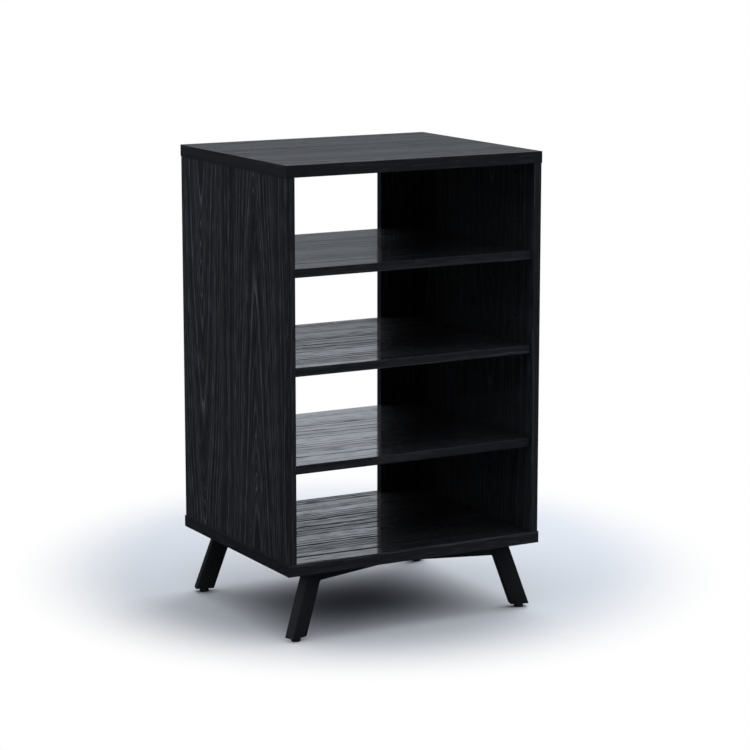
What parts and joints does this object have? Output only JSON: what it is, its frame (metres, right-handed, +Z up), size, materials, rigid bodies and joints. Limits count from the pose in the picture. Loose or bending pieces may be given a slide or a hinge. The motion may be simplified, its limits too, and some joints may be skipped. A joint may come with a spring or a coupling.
{
  "type": "audio equipment rack",
  "caption": "Open upright rack for audio equipment: boxed bays between two sides, shelves on pins, back stiles with an open middle, and a low steel base with leaning legs.",
  "frame": {"origin": "on the floor, under the middle of the rack", "axes": "+Z up, -Y towards the open front, +X towards the right side seen from the front"},
  "size_m": [0.601, 0.499, 0.9835],
  "materials": {
    "black_oak": "black laminate with a fine oak grain, satin",
    "black_steel": "black powder coat, satin",
    "black_plastic": "moulded, matt",
    "zinc": "zinc plated",
    "black_zinc": "cast, black passivated"
  },
  "bodies": {
    "carcass": {"top_panel": "black_oak", "bottom_panel": "black_oak", "left_side_panel": "black_oak", "right_side_panel": "black_oak", "left_back_stile": "black_oak", "right_back_stile": "black_oak", "lower_shelf_pin_front_left": "zinc", "lower_shelf_pin_front_right": "zinc", "lower_shelf_pin_rear_left": "zinc", "lower_shelf_pin_rear_right": "zinc", "middle_shelf_pin_front_left": "zinc", "middle_shelf_pin_front_right": "zinc", "middle_shelf_pin_rear_left": "zinc", "middle_shelf_pin_rear_right": "zinc", "upper_shelf_pin_front_left": "zinc", "upper_shelf_pin_front_right": "zinc", "upper_shelf_pin_rear_left": "zinc", "upper_shelf_pin_rear_right": "zinc", "front_left_cam": "black_zinc", "front_right_cam": "black_zinc", "rear_left_cam": "black_zinc", "rear_right_cam": "black_zinc", "front_left_cam_bolt": "zinc", "front_right_cam_bolt": "zinc", "rear_left_cam_bolt": "zinc", "rear_right_cam_bolt": "zinc", "front_left_box_screw": "zinc", "front_right_box_screw": "zinc", "rear_left_box_screw": "zinc", "rear_right_box_screw": "zinc", "front_left_leg": "black_steel", "front_right_leg": "black_steel", "rear_left_leg": "black_steel", "rear_right_leg": "black_steel", "front_left_rail": "black_steel", "front_right_rail": "black_steel", "rear_left_rail": "black_steel", "rear_right_rail": "black_steel", "front_left_rail_screw_1": "zinc", "front_left_rail_screw_2": "zinc", "front_right_rail_screw_1": "zinc", "front_right_rail_screw_2": "zinc", "rear_left_rail_screw_1": "zinc", "rear_left_rail_screw_2": "zinc", "rear_right_rail_screw_1": "zinc", "rear_right_rail_screw_2": "zinc", "front_left_leg_plug": "black_plastic", "front_right_leg_plug": "black_plastic", "rear_left_leg_plug": "black_plastic", "rear_right_leg_plug": "black_plastic"},
    "lower_shelf": {"lower_shelf": "black_oak"},
    "middle_shelf": {"middle_shelf": "black_oak"},
    "upper_shelf": {"upper_shelf": "black_oak"},
    "front_left_glide": {"front_left_glide": "black_plastic"},
    "front_right_glide": {"front_right_glide": "black_plastic"},
    "rear_left_glide": {"rear_left_glide": "black_plastic"},
    "rear_right_glide": {"rear_right_glide": "black_plastic"}
  },
  "joints": [
    {"name": "lower_shelf_lift", "type": "slide", "parent": "carcass", "child": "lower_shelf", "axis": [0, 0, 1], "range_m": [0, 0.064]},
    {"name": "middle_shelf_lift", "type": "slide", "parent": "carcass", "child": "middle_shelf", "axis": [0, 0, 1], "range_m": [0, 0.064]},
    {"name": "upper_shelf_lift", "type": "slide", "parent": "carcass", "child": "upper_shelf", "axis": [0, 0, 1], "range_m": [0, 0.064]},
    {"name": "front_left_glide_level", "type": "slide", "parent": "carcass", "child": "front_left_glide", "axis": [0, 0, -1], "range_m": [0, 0.01]},
    {"name": "front_right_glide_level", "type": "slide", "parent": "carcass", "child": "front_right_glide", "axis": [0, 0, -1], "range_m": [0, 0.01]},
    {"name": "rear_left_glide_level", "type": "slide", "parent": "carcass", "child": "rear_left_glide", "axis": [0, 0, -1], "range_m": [0, 0.01]},
    {"name": "rear_right_glide_level", "type": "slide", "parent": "carcass", "child": "rear_right_glide", "axis": [0, 0, -1], "range_m": [0, 0.01]}
  ]
}
